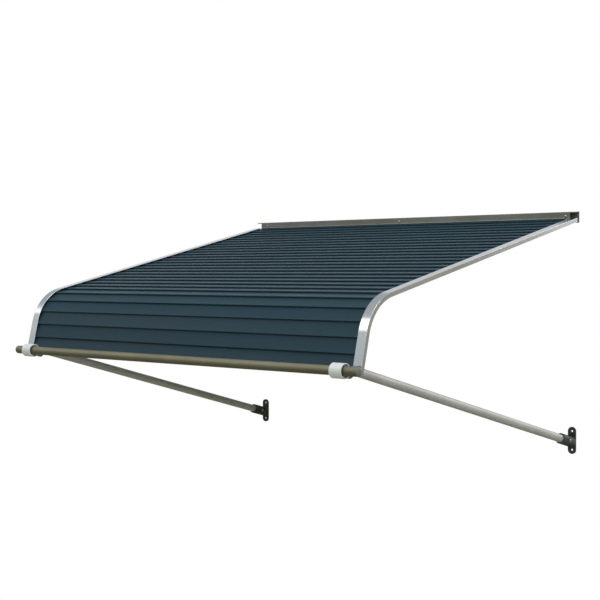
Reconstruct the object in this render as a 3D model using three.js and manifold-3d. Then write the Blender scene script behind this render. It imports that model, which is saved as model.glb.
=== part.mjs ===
// Solid door canopy: lapped slats in bent side frames, a wall rail, a front bar and two support arms.
// Millimetres, +Z up. X runs along the wall. The wall is the plane Y = 0 and the canopy is on its -Y side.
// The origin is on the wall, at mid width. The slats' outer surface, carried on to the wall, is just over it.

import * as THREE from 'three';
import { mergeVertices } from 'three/addons/utils/BufferGeometryUtils.js';
import Module from 'manifold-3d';

const wasm = await Module();
wasm.setup();

// Fits
const GAP = 0.3; // clearance between pieces that touch
const OVERRUN = 1; // how far a cutter runs past the face that it cuts

// Side profile of the frames, measured on their outer surface
const CANOPY_WIDTH = 1219; // over both side frames
const ROOF_TOP_Z = 12.4; // outer surface of the frames, carried on to the wall
const SLOPE = THREE.MathUtils.degToRad(13.26); // below the horizontal
const SLOPE_LENGTH = 868;
const BEND_RADIUS = 121;
const BEND_STEPS = 12;
const DROP_LEAN = THREE.MathUtils.degToRad(13.4); // from the vertical, outwards at the bottom
const DROP_LENGTH = 90;
const BEND_ANGLE = Math.PI / 2 - DROP_LEAN - SLOPE;

// Wall rail, seen from the side
const RAIL_RISE = 12.6; // top of the rail over the roof's outer surface at the wall
const RAIL_HEIGHT = 31;
const RAIL_FLANGE = 2.4;
const RAIL_FRONT_Y = -22;
const RAIL_WALL = 2;
const RAIL_HOOD_FALL = 1.4; // from the wall to the front
const RAIL_LIP = 2.2; // how far the drip lip stands in front of the band
const RAIL_LIP_HEIGHT = 3.5;
const RAIL_LIP_CLEARANCE = 0.67; // lip over the top slat
const RAIL_TOP_Z = ROOF_TOP_Z + RAIL_RISE;
const RAIL_BOTTOM_Z = RAIL_TOP_Z - RAIL_HEIGHT;
const RAIL_COPE = 4; // top of the rail that is left over the frames, in front of the flange
const RAIL_COPE_Z = RAIL_TOP_Z - RAIL_COPE;
const RAIL_CHAMFER = 0.8; // top front corner
const RAIL_LIP_EDGE = 0.9; // bevel under the drip lip
const RAIL_LIP_ROOT = 0.5; // back of the lip under the front of its root

// Slats
const SLAT_PITCH = 37.6;
const SLAT_SHEET = 1;
const SLAT_STEP = 4.6; // depth of the lap between two slats
const SLAT_LAP = 4.5; // length of the edge under the slat above
const SLAT_NOSE = 0.6; // corner of the front edge
const SLAT_SET = 1; // front edges under the frame's outer wall
const SLAT_FIT = 0.4; // lapped edges over the frame's inner wall
const SLAT_LAP_GAP = GAP + 0.1; // turned-down edge over the face of the next slat
const SLAT_FACE_START = 0.5; // the face rises from here, clear of the slat above
const SLAT_END_FIT = 0.5; // end of a slat to the frame's web
const SLAT_SHOWN = 8.2; // top slat in front of the rail's band
const SLAT_FIRST = SLAT_SHOWN - RAIL_FRONT_Y / Math.cos(SLOPE); // its front edge, along the slope

// Side frames: C channels open towards the slats
const FRAME_FACE = 25;
const FRAME_WALL = 2;
const SLAT_RECESS = FRAME_WALL + SLAT_SET; // the frames stand this far above the slats' front edges
const FRAME_DEPTH = SLAT_RECESS + SLAT_STEP + SLAT_SHEET + SLAT_FIT + FRAME_WALL;
const FRAME_LEAD = 3.3; // upper end above the top slat's front edge
const FRAME_START = SLAT_FIRST - FRAME_LEAD; // along the slope from the wall
const SLAT_HALF = CANOPY_WIDTH / 2 - FRAME_WALL - SLAT_END_FIT;

// Wall rail, along the wall
const RAIL_INSET = 8.5; // from the frame's outer side
const RAIL_BAND_FIT = 0.5;
const RAIL_HALF = CANOPY_WIDTH / 2 - RAIL_INSET;
const RAIL_BAND_HALF = CANOPY_WIDTH / 2 - FRAME_FACE - RAIL_BAND_FIT; // the band ends between the frames
const RAIL_LIP_Z = slopeHeight(RAIL_FRONT_Y - RAIL_LIP, SLAT_RECESS) + RAIL_LIP_CLEARANCE;
const RAIL_BAND_BOTTOM_Z = RAIL_LIP_Z + RAIL_LIP_HEIGHT;
const RAIL_SCREW_INSET_LEFT = 28; // from the ends of the band
const RAIL_SCREW_INSET_RIGHT = 13;
const RAIL_SCREW_MIDDLE_X = -4;
const RAIL_SCREW_RISE = 4;
const RAIL_SCREW_X = [
  RAIL_SCREW_INSET_LEFT - RAIL_BAND_HALF,
  RAIL_SCREW_MIDDLE_X,
  RAIL_BAND_HALF - RAIL_SCREW_INSET_RIGHT,
];
const RAIL_SCREW_Z = RAIL_BAND_BOTTOM_Z + RAIL_SCREW_RISE;
const RAIL_SCREW_LENGTH = 12;
const TONGUE_CLEARANCE = 3; // turned-up edge of the top slat, under the rail's hood
const TONGUE_TOP_Z = RAIL_TOP_Z - RAIL_WALL - TONGUE_CLEARANCE;

// Front bar and its plugs
const BAR_RADIUS = 11;
const BAR_WALL = 1.6;
const BAR_OVERHANG = 9.5; // past the frame's outer side
const BAR_HALF = CANOPY_WIDTH / 2 + BAR_OVERHANG;
const BAR_STANDOFF = 8.7; // between the bar and the frames
const [BAR_Y, BAR_Z] = dropPoint(DROP_LENGTH, -BAR_RADIUS - BAR_STANDOFF);
const PLUG_RIM = 1.6;
const PLUG_DOME = 5;
const PLUG_DEPTH = 18;
const PLUG_LEAD = 1; // bevel at the plug's inner end

// Saddles between the bar and the frames
const SADDLE_HALF_WIDTH = 8;
const SADDLE_INSET = 1; // from the lower end of the frame
const SADDLE_LENGTH = 16;
const SADDLE_SCREW_INSET = 6;
const SADDLE_BOTTOM = DROP_LENGTH - SADDLE_INSET; // along the drop
const SADDLE_TOP = SADDLE_BOTTOM - SADDLE_LENGTH;
const SADDLE_SCREW = DROP_LENGTH - SADDLE_SCREW_INSET;
const SADDLE_SCREW_DEPTH = 7;
const CRADLE_START = THREE.MathUtils.degToRad(-24.6); // from the line between the bar and the frame
const CRADLE_ANGLE = THREE.MathUtils.degToRad(94);

// Collars on the bar, each with a hole for the root of a fitting
const COLLAR_HALF = 17.7;
const COLLAR_WALL = 6.7;
const COLLAR_MOUTH_GAP = 4; // open ring round the bar at each end
const COLLAR_MOUTH_DEPTH = 7;
const COLLAR_INSET = 1.8; // from the frame's inner edge
const COLLAR_RADIUS = BAR_RADIUS + COLLAR_WALL;
const COLLAR_MOUTH_RADIUS = BAR_RADIUS + COLLAR_MOUTH_GAP;
const COLLAR_X = CANOPY_WIDTH / 2 - FRAME_FACE - COLLAR_HALF - COLLAR_INSET;

// Support arms
const ARM_RADIUS = 11;
const ARM_WALL = 1.6;
const ARM_RISE = 9.1; // axis of the arm over the axis of the stub
const ARM_FALL = 252.5; // from the bar to the wall
const ARM_START = 1.2; // along the arm, clear of the stub's end
const ARM_END_Y = -18;

// Arm fittings: a stub square to the drop, with a root in the collar and a spigot in the arm
const STUB_COVER = 1; // stub's edge past the arm's
const STUB_RADIUS = ARM_RADIUS + STUB_COVER;
const STUB_LENGTH = 38; // from the bar's axis
const STUB_SCREW_AT = 24;
const STUB_SCREW_LENGTH = 9;
const ROOT_RADIUS = 7; // peg of the fitting in the collar's wall
const SPIGOT_LENGTH = 30;
const SPIGOT_ROOT = 4; // length of the spigot inside the stub
const STUB_CLEARANCE = 1.5; // stubs under the lowest slat
const SLAT_END = DROP_LENGTH - STUB_RADIUS - STUB_CLEARANCE; // lowest edge, along the drop
const ARM_INSET = 26.5; // arm's axis at the wall, from the frame's outer side
const ARM_WALL_POINT = new THREE.Vector3(CANOPY_WIDTH / 2 - ARM_INSET, 0, BAR_Z - ARM_FALL);

// Wall brackets
const PLATE_WIDTH = 24;
const PLATE_HEIGHT = 75;
const PLATE_THICKNESS = 6;
const PLATE_RISE = 6; // middle of the plate over the arm's axis
const PLATE_Z = ARM_WALL_POINT.z + PLATE_RISE;
const PLATE_HOLE_SPACING = 52;
const PLATE_HOLE_RADIUS = 3;
const PLATE_SINK_RADIUS = 5;
const PLATE_SINK_DEPTH = 2.2;
const SOCKET_WALL = 3.8;
const SOCKET_FOOT_INSET = 0.6; // from the plate's long edge
const SOCKET_FOOT_RADIUS = PLATE_WIDTH / 2 - SOCKET_FOOT_INSET;
const SOCKET_FOOT_Y = -2;
const SOCKET_FLARE_Y = -16; // the socket has its full radius from here
const SOCKET_RADIUS = ARM_RADIUS + SOCKET_WALL;
const SOCKET_FLOOR = 1; // bottom of the bore behind the arm's end
const SOCKET_MOUTH_Y = -65;
const SOCKET_BOLT_Y = -38;

// Screws and bolts
const SCREW_RADIUS = 1.9;
const SCREW_HEAD_RADIUS = 3.4;
const SCREW_HEAD_HEIGHT = 2;
const SCREW_POINT = 1.5; // length of the point
const SCREW_HOLE_SPARE = 1; // hole past the point
const BOLT_RADIUS = 2.2;
const BOLT_HEAD_RADIUS = 4.4;
const BOLT_HEAD_HEIGHT = 3;
const NUT_RADIUS = 4.6;
const NUT_HEIGHT = 3.2;
const BOLT_SPARE = 1; // end of the bolt past the nut

const ROUND = 40; // sides of a tube
const SMALL_ROUND = 20; // sides of a screw

const colours = {
  frame: { color: 0xc3c6c4, roughness: 0.34, metalness: 0.85 },
  slat: { color: 0x2d3e48, roughness: 0.5, metalness: 0.2 },
  rail: { color: 0x5d5f57, roughness: 0.42, metalness: 0.7 },
  tube: { color: 0x9a988c, roughness: 0.32, metalness: 0.85 },
  white: { color: 0xe6e6e2, roughness: 0.4, metalness: 0.05 },
  cast: { color: 0x323432, roughness: 0.6, metalness: 0.3 },
  plug: { color: 0x5a5d58, roughness: 0.55, metalness: 0.1 },
  steel: { color: 0x8d8f8c, roughness: 0.35, metalness: 0.9 },
};

const canopy = new THREE.Group();

function addPiece(name, geometry, look) {
  const mesh = new THREE.Mesh(geometry, new THREE.MeshStandardMaterial(colours[look]));
  mesh.name = name;
  canopy.add(mesh);
}

function toSolid(geometry) {
  const bare = geometry.clone();
  bare.deleteAttribute('normal');
  bare.deleteAttribute('uv');
  const merged = mergeVertices(bare, 1e-4);
  const vertProperties = new Float32Array(merged.attributes.position.array);
  const triVerts = new Uint32Array(merged.index.array);
  return new wasm.Manifold(new wasm.Mesh({ numProp: 3, vertProperties, triVerts }));
}

function toGeometry(solid) {
  const mesh = solid.getMesh();
  const geometry = new THREE.BufferGeometry();
  geometry.setAttribute('position', new THREE.BufferAttribute(mesh.vertProperties, 3));
  geometry.setIndex(new THREE.BufferAttribute(mesh.triVerts, 1));
  geometry.computeVertexNormals();
  return geometry;
}

// Geometry of the first piece with others joined to it and others cut from it.
function combine(first, joined, cut) {
  let solid = toSolid(first);
  for (const geometry of joined) solid = solid.add(toSolid(geometry));
  for (const geometry of cut) solid = solid.subtract(toSolid(geometry));
  return toGeometry(solid);
}

// A prism along X, from an outline of [y, z] points.
function prism(outline, x0, x1) {
  const shape = new THREE.Shape(outline.map(([y, z]) => new THREE.Vector2(y, z)));
  const geometry = new THREE.ExtrudeGeometry(shape, { depth: x1 - x0, bevelEnabled: false });
  const turn = new THREE.Matrix4().set(0, 0, 1, 0, 1, 0, 0, 0, 0, 1, 0, 0, 0, 0, 0, 1);
  return geometry.applyMatrix4(turn).translate(x0, 0, 0);
}

// Moves a geometry made along +Y so that it starts at a point and runs along a direction.
function along(geometry, start, direction) {
  const up = new THREE.Vector3(0, 1, 0);
  const turn = new THREE.Quaternion().setFromUnitVectors(up, direction.clone().normalize());
  return geometry.applyQuaternion(turn).translate(start.x, start.y, start.z);
}

function rod(start, direction, length, radius, sides = ROUND) {
  const geometry = new THREE.CylinderGeometry(radius, radius, length, sides).translate(0, length / 2, 0);
  return along(geometry, start, direction);
}

function turned(profile, start, direction, sides = SMALL_ROUND) {
  const geometry = new THREE.LatheGeometry(profile.map(([r, y]) => new THREE.Vector2(r, y)), sides);
  return along(geometry, start, direction);
}

// Pan-head screw. It starts under its head, and its shank runs along the direction.
function screw(start, direction, length) {
  const crown = SCREW_HEAD_RADIUS * 0.55;
  const profile = [
    [0, length],
    [SCREW_RADIUS * 0.5, length],
    [SCREW_RADIUS, length - SCREW_POINT],
    [SCREW_RADIUS, 0],
    [SCREW_HEAD_RADIUS, 0],
    [SCREW_HEAD_RADIUS, -SCREW_HEAD_HEIGHT * 0.5],
    [crown, -SCREW_HEAD_HEIGHT],
    [0, -SCREW_HEAD_HEIGHT],
  ];
  return turned(profile.reverse(), start, direction);
}

// A point of the side profile: a distance along the outer surface and a depth below it, as [y, z].
function slopePoint(distance, depth) {
  const y = -distance * Math.cos(SLOPE) + depth * Math.sin(SLOPE);
  const z = ROOF_TOP_Z - distance * Math.sin(SLOPE) - depth * Math.cos(SLOPE);
  return [y, z];
}

// Height of the slope at a distance from the wall, a depth below its outer surface.
function slopeHeight(y, depth) {
  return ROOF_TOP_Z + y * Math.tan(SLOPE) - depth / Math.cos(SLOPE);
}

function bendPoint(angle, depth) {
  const [y, z] = slopePoint(SLOPE_LENGTH, BEND_RADIUS);
  const radius = BEND_RADIUS - depth;
  return [y - radius * Math.sin(SLOPE + angle), z + radius * Math.cos(SLOPE + angle)];
}

function dropPoint(distance, depth) {
  const [y, z] = bendPoint(BEND_ANGLE, depth);
  return [y - distance * Math.sin(DROP_LEAN), z - distance * Math.cos(DROP_LEAN)];
}

// Point at a length along the line that lies a depth below the outer surface.
function profilePoint(length, depth) {
  const bendLength = (BEND_RADIUS - depth) * BEND_ANGLE;
  if (length <= SLOPE_LENGTH) return slopePoint(length, depth);
  if (length <= SLOPE_LENGTH + bendLength) {
    return bendPoint((length - SLOPE_LENGTH) / (BEND_RADIUS - depth), depth);
  }
  return dropPoint(length - SLOPE_LENGTH - bendLength, depth);
}

function profileLine(depth) {
  const points = [slopePoint(FRAME_START, depth)];
  for (let i = 0; i <= BEND_STEPS; i++) points.push(bendPoint((BEND_ANGLE * i) / BEND_STEPS, depth));
  points.push(dropPoint(DROP_LENGTH, depth));
  return points;
}

// A bent strip between two depths below the outer surface.
function strip(depth0, depth1, x0, x1) {
  return prism([...profileLine(depth0), ...profileLine(depth1).reverse()], x0, x1);
}

// Square to the drop, away from the wall.
function dropDirection() {
  return new THREE.Vector3(0, -Math.cos(DROP_LEAN), Math.sin(DROP_LEAN));
}

function saddleScrewStart(side, depth) {
  const [y, z] = dropPoint(SADDLE_SCREW, depth);
  return new THREE.Vector3(side * (CANOPY_WIDTH / 2 - FRAME_FACE / 2), y, z);
}

function makeFrame(side) {
  const outer = (side * CANOPY_WIDTH) / 2;
  const web = outer - side * FRAME_WALL;
  const inner = outer - side * FRAME_FACE;
  const [x0, x1] = [Math.min(inner, outer), Math.max(inner, outer)];
  const front = strip(0, FRAME_WALL, x0, x1);
  const back = strip(FRAME_DEPTH - FRAME_WALL, FRAME_DEPTH, x0, x1);
  const edge = strip(0, FRAME_DEPTH, Math.min(web, outer), Math.max(web, outer));
  const holeStart = saddleScrewStart(side, FRAME_DEPTH + OVERRUN);
  const holeLength = FRAME_DEPTH + 2 * OVERRUN;
  const hole = rod(holeStart, dropDirection(), holeLength, SCREW_RADIUS + GAP, SMALL_ROUND);
  return combine(front, [back, edge], [hole]);
}

// Section of a slat: u runs down the slope from the slat above, v is outward and 0 at the front edge.
function slatSection(pitch) {
  const under = -SLAT_STEP - SLAT_SHEET;
  const edgeBottom = -SLAT_STEP + SLAT_LAP_GAP;
  return [
    [-SLAT_LAP, under],
    [SLAT_FACE_START, under],
    [pitch - SLAT_SHEET, -SLAT_SHEET * 1.15],
    [pitch - SLAT_SHEET, edgeBottom],
    [pitch, edgeBottom],
    [pitch, -SLAT_NOSE],
    [pitch - SLAT_NOSE * 0.3, -SLAT_NOSE * 0.3],
    [pitch - SLAT_NOSE, 0],
    [SLAT_FACE_START, -SLAT_STEP],
    [-SLAT_LAP, -SLAT_STEP],
  ];
}

// One slat between two points of the line along the slats' front edges.
function makeSlat(start, end) {
  const pitch = Math.hypot(end[0] - start[0], end[1] - start[1]);
  const [ay, az] = [(end[0] - start[0]) / pitch, (end[1] - start[1]) / pitch];
  const place = ([u, v]) => [start[0] + ay * u + az * v, start[1] + az * u - ay * v];
  return prism(slatSection(pitch).map(place), -SLAT_HALF, SLAT_HALF);
}

// Length along the profile that lies one pitch, in a straight line, after another.
function nextEdge(length) {
  const [y, z] = profilePoint(length, SLAT_RECESS);
  let low = length + SLAT_PITCH;
  let high = length + SLAT_PITCH * 1.1;
  for (let i = 0; i < 30; i++) {
    const middle = (low + high) / 2;
    const [my, mz] = profilePoint(middle, SLAT_RECESS);
    if (Math.hypot(my - y, mz - z) < SLAT_PITCH) low = middle;
    else high = middle;
  }
  return (low + high) / 2;
}

function railScrewHole(x) {
  const start = new THREE.Vector3(x, RAIL_FRONT_Y - OVERRUN, RAIL_SCREW_Z);
  const length = RAIL_WALL + SLAT_SHEET + GAP + 2 * OVERRUN;
  return rod(start, new THREE.Vector3(0, 1, 0), length, SCREW_RADIUS + GAP, SMALL_ROUND);
}

// Box that clears the ends of a rail or slat above a frame, from the band's end outwards.
function sideCutter(side, end, y0, y1, top) {
  const x0 = side * RAIL_BAND_HALF;
  const x1 = side * (end + OVERRUN);
  const bottom = RAIL_BOTTOM_Z - OVERRUN;
  return prism([[y0, bottom], [y1, bottom], [y1, top], [y0, top]], Math.min(x0, x1), Math.max(x0, x1));
}

// Top slat: an edge turned up behind the rail's band, a narrow face and a turned-down front edge.
function makeTopSlat() {
  const tongueY = RAIL_FRONT_Y + RAIL_WALL + GAP;
  const tongueStart = -tongueY / Math.cos(SLOPE);
  const edgeBottom = SLAT_RECESS + SLAT_STEP - SLAT_LAP_GAP;
  const outline = [
    [tongueY + SLAT_SHEET, TONGUE_TOP_Z],
    [tongueY, TONGUE_TOP_Z],
    slopePoint(tongueStart, SLAT_RECESS),
    slopePoint(SLAT_FIRST - SLAT_NOSE, SLAT_RECESS),
    slopePoint(SLAT_FIRST, SLAT_RECESS + SLAT_NOSE),
    slopePoint(SLAT_FIRST, edgeBottom),
    slopePoint(SLAT_FIRST - SLAT_SHEET, edgeBottom),
    slopePoint(SLAT_FIRST - SLAT_SHEET, SLAT_RECESS + SLAT_SHEET),
    slopePoint(tongueStart - SLAT_SHEET, SLAT_RECESS + SLAT_SHEET),
  ];
  const body = prism(outline, -SLAT_HALF, SLAT_HALF);
  const cuts = [-1, 1].map((side) => {
    const frameEnd = slopePoint(FRAME_START, 0)[0];
    return sideCutter(side, SLAT_HALF, frameEnd, 0, TONGUE_TOP_Z + OVERRUN);
  });
  return combine(body, [], [...cuts, ...RAIL_SCREW_X.map(railScrewHole)]);
}

function makeRail() {
  const hoodZ = RAIL_TOP_Z - RAIL_HOOD_FALL;
  const outline = [
    [0, RAIL_BOTTOM_Z],
    [0, RAIL_TOP_Z],
    [RAIL_FRONT_Y + RAIL_CHAMFER, hoodZ],
    [RAIL_FRONT_Y, hoodZ - RAIL_CHAMFER],
    [RAIL_FRONT_Y, RAIL_BAND_BOTTOM_Z],
    [RAIL_FRONT_Y - RAIL_LIP, RAIL_LIP_Z + RAIL_LIP_EDGE],
    [RAIL_FRONT_Y - RAIL_LIP + RAIL_LIP_EDGE, RAIL_LIP_Z],
    [RAIL_FRONT_Y + RAIL_WALL, RAIL_BAND_BOTTOM_Z - RAIL_LIP_ROOT],
    [RAIL_FRONT_Y + RAIL_WALL, hoodZ - RAIL_WALL],
    [-RAIL_FLANGE, RAIL_TOP_Z - RAIL_WALL],
    [-RAIL_FLANGE, RAIL_BOTTOM_Z],
  ];
  const lipFront = RAIL_FRONT_Y - RAIL_LIP - OVERRUN;
  const cuts = [-1, 1].map((side) => sideCutter(side, RAIL_HALF, lipFront, -RAIL_FLANGE, RAIL_COPE_Z));
  return combine(prism(outline, -RAIL_HALF, RAIL_HALF), [], [...cuts, ...RAIL_SCREW_X.map(railScrewHole)]);
}

function tube(start, direction, length, radius, wall, cuts = []) {
  const inner = start.clone().addScaledVector(direction, -OVERRUN);
  const bore = rod(inner, direction, length + 2 * OVERRUN, radius - wall);
  return combine(rod(start, direction, length, radius), [], [bore, ...cuts]);
}

function makeBar() {
  return tube(barPoint(-BAR_HALF), new THREE.Vector3(1, 0, 0), 2 * BAR_HALF, BAR_RADIUS, BAR_WALL);
}

// Domed plug in an end of the bar.
function makePlug(side) {
  const inside = BAR_RADIUS - BAR_WALL - GAP;
  const dome = BAR_RADIUS * 0.94;
  const steps = 6;
  const profile = [
    [0, -PLUG_DEPTH],
    [inside - PLUG_LEAD, -PLUG_DEPTH],
    [inside, 2 * PLUG_LEAD - PLUG_DEPTH],
    [inside, 0],
    [BAR_RADIUS, 0],
    [BAR_RADIUS, PLUG_RIM],
  ];
  for (let i = 1; i < steps; i++) {
    const angle = (i / steps) * (Math.PI / 2);
    profile.push([dome * Math.cos(angle), PLUG_RIM + PLUG_DOME * Math.sin(angle)]);
  }
  profile.push([0, PLUG_RIM + PLUG_DOME]);
  return turned(profile, barPoint(side * (BAR_HALF + GAP)), new THREE.Vector3(side, 0, 0), ROUND);
}

// Spacer with a cradle for the bar and a flat back on the frame.
function makeSaddle(side) {
  const centre = side * (CANOPY_WIDTH / 2 - FRAME_FACE / 2);
  const outline = [dropPoint(SADDLE_TOP, -GAP), dropPoint(SADDLE_BOTTOM, -GAP)];
  const cradle = BAR_RADIUS + GAP;
  const steps = 8;
  for (let i = 0; i <= steps; i++) {
    const angle = CRADLE_START - DROP_LEAN + (CRADLE_ANGLE * i) / steps;
    outline.push([BAR_Y + cradle * Math.cos(angle), BAR_Z + cradle * Math.sin(angle)]);
  }
  const body = prism(outline, centre - SADDLE_HALF_WIDTH, centre + SADDLE_HALF_WIDTH);
  const length = SADDLE_SCREW_DEPTH + OVERRUN + GAP;
  const hole = rod(saddleScrewStart(side, OVERRUN), dropDirection(), length, SCREW_RADIUS + GAP, SMALL_ROUND);
  return combine(body, [], [hole]);
}

function makeSaddleScrew(side) {
  const start = saddleScrewStart(side, FRAME_DEPTH + GAP);
  return screw(start, dropDirection(), FRAME_DEPTH + SADDLE_SCREW_DEPTH);
}

function mirrored(point, side) {
  return new THREE.Vector3(side * point.x, point.y, point.z);
}

function barPoint(x) {
  return new THREE.Vector3(x, BAR_Y, BAR_Z);
}

function stubDirection() {
  return dropDirection().negate();
}

// Front end of the arm's axis, over the end of the stub.
function armFront(side) {
  const up = new THREE.Vector3(0, Math.sin(DROP_LEAN), Math.cos(DROP_LEAN));
  const end = barPoint(side * COLLAR_X).addScaledVector(stubDirection(), STUB_LENGTH);
  return end.addScaledVector(up, ARM_RISE);
}

function armDirection(side) {
  return mirrored(ARM_WALL_POINT, side).sub(armFront(side)).normalize();
}

// Point of the arm's axis at a distance from the wall.
function armPoint(side, y) {
  const direction = armDirection(side);
  const front = armFront(side);
  return front.addScaledVector(direction, (y - front.y) / direction.y);
}

function stubRod(side, from, length, radius) {
  const start = barPoint(side * COLLAR_X).addScaledVector(stubDirection(), from);
  return rod(start, stubDirection(), length, radius);
}

function stubScrewStart(side, outwards) {
  const start = barPoint(side * COLLAR_X).addScaledVector(stubDirection(), STUB_SCREW_AT);
  start.x -= side * (STUB_RADIUS + outwards);
  return start;
}

// Rod along the bar, through a collar.
function collarRod(side, radius, overrun) {
  const half = COLLAR_HALF + overrun;
  return rod(barPoint(side * COLLAR_X - half), new THREE.Vector3(1, 0, 0), 2 * half, radius);
}

function makeCollar(side) {
  const x = side * COLLAR_X;
  const ring = collarRod(side, COLLAR_RADIUS, 0);
  const bore = collarRod(side, BAR_RADIUS + GAP, OVERRUN);
  const mouths = [-1, 1].map((end) => {
    const inwards = new THREE.Vector3(-end, 0, 0);
    const start = barPoint(x + end * (COLLAR_HALF + OVERRUN));
    return rod(start, inwards, COLLAR_MOUTH_DEPTH + OVERRUN, COLLAR_MOUTH_RADIUS);
  });
  const rootHole = stubRod(side, 0, COLLAR_RADIUS + OVERRUN, ROOT_RADIUS + GAP);
  return combine(ring, [], [bore, ...mouths, rootHole]);
}

// Fitting behind a collar: a stub hollowed to the collar's round, its root and the spigot for the arm.
function makeFitting(side) {
  const arm = armDirection(side);
  const spigotStart = armFront(side).addScaledVector(arm, -SPIGOT_ROOT);
  const spigot = rod(spigotStart, arm, SPIGOT_LENGTH + SPIGOT_ROOT, ARM_RADIUS - ARM_WALL - GAP);
  const outwards = new THREE.Vector3(side, 0, 0);
  const holeLength = STUB_SCREW_LENGTH + GAP + OVERRUN + SCREW_HOLE_SPARE;
  const hole = rod(stubScrewStart(side, OVERRUN), outwards, holeLength, SCREW_RADIUS + GAP, SMALL_ROUND);
  const collar = collarRod(side, COLLAR_RADIUS + GAP, OVERRUN);
  const stub = combine(stubRod(side, 0, STUB_LENGTH, STUB_RADIUS), [spigot], [collar, hole]);
  const rootStart = BAR_RADIUS + 2 * GAP;
  const root = stubRod(side, rootStart, COLLAR_RADIUS + OVERRUN - rootStart, ROOT_RADIUS);
  return combine(stub, [root], []);
}

function makeCollarScrew(side) {
  return screw(stubScrewStart(side, GAP), new THREE.Vector3(side, 0, 0), STUB_SCREW_LENGTH);
}

function boltAxis(side) {
  const arm = armDirection(side);
  return new THREE.Vector3(-side * arm.y, side * arm.x, 0).normalize();
}

function boltHole(side) {
  const axis = boltAxis(side);
  const start = armPoint(side, SOCKET_BOLT_Y).addScaledVector(axis, -2 * SOCKET_RADIUS);
  return rod(start, axis, 4 * SOCKET_RADIUS, BOLT_RADIUS + GAP, SMALL_ROUND);
}

function makeArm(side) {
  const direction = armDirection(side);
  const start = armFront(side).addScaledVector(direction, ARM_START);
  const length = start.distanceTo(armPoint(side, ARM_END_Y));
  return tube(start, direction, length, ARM_RADIUS, ARM_WALL, [boltHole(side)]);
}

function obround(width, height, thickness) {
  const radius = width / 2;
  const straight = height / 2 - radius;
  const shape = new THREE.Shape();
  shape.absarc(0, straight, radius, 0, Math.PI, false);
  shape.absarc(0, -straight, radius, Math.PI, 2 * Math.PI, false);
  return new THREE.ExtrudeGeometry(shape, { depth: thickness, bevelEnabled: false, curveSegments: 16 });
}

// Cast bracket: an obround plate on the wall and a socket along the arm, cut flush with the wall.
function makeBracket(side) {
  const x = side * ARM_WALL_POINT.x;
  const plate = obround(PLATE_WIDTH, PLATE_HEIGHT, PLATE_THICKNESS).rotateX(Math.PI / 2);
  plate.translate(x, 0, PLATE_Z);
  const back = armDirection(side).negate();
  const mouth = armPoint(side, SOCKET_MOUTH_Y);
  const socketStart = armPoint(side, SOCKET_RADIUS);
  const reach = (y) => socketStart.distanceTo(armPoint(side, y));
  const profile = [
    [0, 0],
    [SOCKET_FOOT_RADIUS, 0],
    [SOCKET_FOOT_RADIUS, reach(SOCKET_FOOT_Y)],
    [SOCKET_RADIUS, reach(SOCKET_FLARE_Y)],
    [SOCKET_RADIUS, reach(SOCKET_MOUTH_Y)],
    [0, reach(SOCKET_MOUTH_Y)],
  ];
  const socket = turned(profile, socketStart, back, ROUND);
  const boreStart = armPoint(side, ARM_END_Y + SOCKET_FLOOR);
  const bore = rod(boreStart, back, boreStart.distanceTo(mouth) + OVERRUN, ARM_RADIUS + GAP);
  const wallSize = 2 * PLATE_HEIGHT;
  const wall = new THREE.BoxGeometry(wallSize, wallSize, wallSize).translate(x, wallSize / 2, PLATE_Z);
  const holes = [-1, 1].map((end) => {
    const z = PLATE_Z + (end * PLATE_HOLE_SPACING) / 2;
    const front = -PLATE_THICKNESS;
    const sink = [
      [0, front - OVERRUN],
      [PLATE_SINK_RADIUS + OVERRUN, front - OVERRUN],
      [PLATE_HOLE_RADIUS, front + PLATE_SINK_DEPTH],
      [PLATE_HOLE_RADIUS, OVERRUN],
      [0, OVERRUN],
    ];
    return turned(sink, new THREE.Vector3(x, 0, z), new THREE.Vector3(0, 1, 0), SMALL_ROUND);
  });
  return combine(socket, [plate], [wall, bore, boltHole(side), ...holes]);
}

// Cross bolt of a wall bracket, with its head on the outer side of the socket.
function makeBracketBolt(side) {
  const axis = boltAxis(side);
  const end = 2 * SOCKET_RADIUS + NUT_HEIGHT + 3 * GAP + BOLT_SPARE;
  const start = armPoint(side, SOCKET_BOLT_Y).addScaledVector(axis, -SOCKET_RADIUS - GAP);
  const profile = [
    [0, -BOLT_HEAD_HEIGHT],
    [BOLT_HEAD_RADIUS * 0.6, -BOLT_HEAD_HEIGHT],
    [BOLT_HEAD_RADIUS, -BOLT_HEAD_HEIGHT * 0.4],
    [BOLT_HEAD_RADIUS, 0],
    [BOLT_RADIUS, 0],
    [BOLT_RADIUS, end],
    [0, end],
  ];
  return turned(profile, start, axis);
}

function makeBracketNut(side) {
  const axis = boltAxis(side);
  const start = armPoint(side, SOCKET_BOLT_Y).addScaledVector(axis, SOCKET_RADIUS + GAP);
  const boreStart = start.clone().addScaledVector(axis, -OVERRUN);
  const bore = rod(boreStart, axis, NUT_HEIGHT + 2 * OVERRUN, BOLT_RADIUS + GAP, SMALL_ROUND);
  return combine(rod(start, axis, NUT_HEIGHT, NUT_RADIUS, 6), [], [bore]);
}

function addSlats() {
  const name = (number) => `slat_${String(number).padStart(2, '0')}`;
  const end = SLOPE_LENGTH + (BEND_RADIUS - SLAT_RECESS) * BEND_ANGLE + SLAT_END;
  addPiece(name(1), makeTopSlat(), 'slat');
  let number = 2;
  let length = SLAT_FIRST;
  while (nextEdge(length) < end) {
    const next = nextEdge(length);
    addPiece(name(number), makeSlat(profilePoint(length, SLAT_RECESS), profilePoint(next, SLAT_RECESS)), 'slat');
    length = next;
    number++;
  }
  const last = makeSlat(profilePoint(length, SLAT_RECESS), dropPoint(SLAT_END, SLAT_RECESS));
  addPiece(name(number), last, 'slat');
}

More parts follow.
